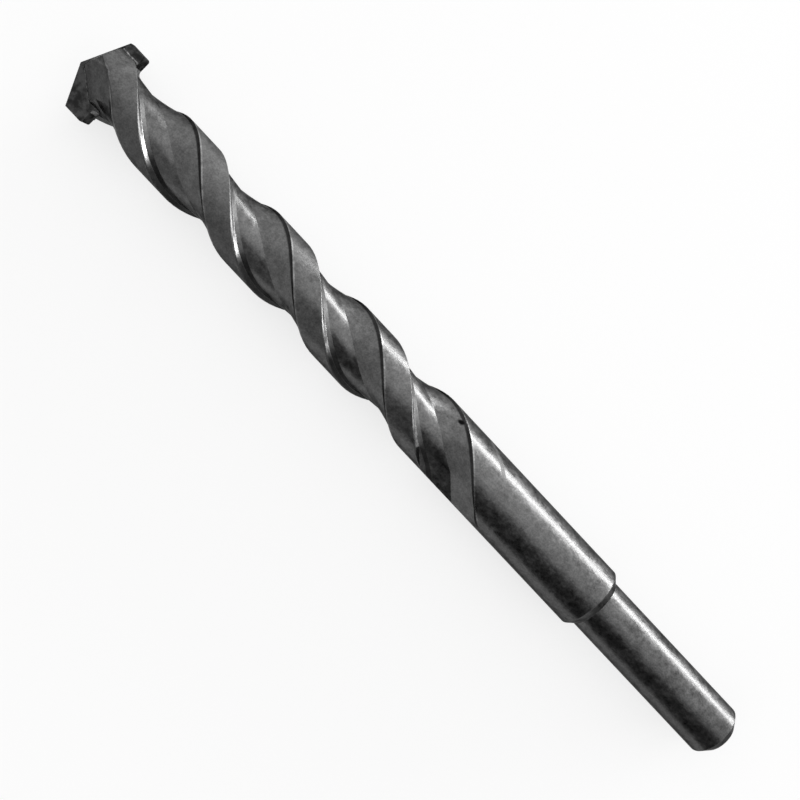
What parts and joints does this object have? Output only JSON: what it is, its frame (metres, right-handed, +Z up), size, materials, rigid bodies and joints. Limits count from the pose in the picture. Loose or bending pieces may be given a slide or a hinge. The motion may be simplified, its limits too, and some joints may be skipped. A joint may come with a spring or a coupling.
{
  "type": "masonry drill bit",
  "caption": "Carbide tipped masonry drill bit with a roof-shaped plate brazed across the tip, right-hand helical flutes and a reduced round shank.",
  "frame": {"origin": "under the middle of the bit's length, on the surface that it lies on, at the centre of its bounding box's underside", "axes": "+X along the bit's axis from the point to the end of the shank, +Z up, with the carbide plate nearly level"},
  "size_m": [0.158, 0.0154, 0.0124],
  "materials": {
    "steel": "ground bright on the shank and cylinder, blasted satin in the flutes",
    "carbide": "dark sintered carbide with ground edges",
    "braze": "dull silver braze with small rough beads"
  },
  "bodies": {
    "root": {"steel_body": "steel", "carbide_tip": "carbide", "braze_joint": "braze"}
  },
  "joints": []
}
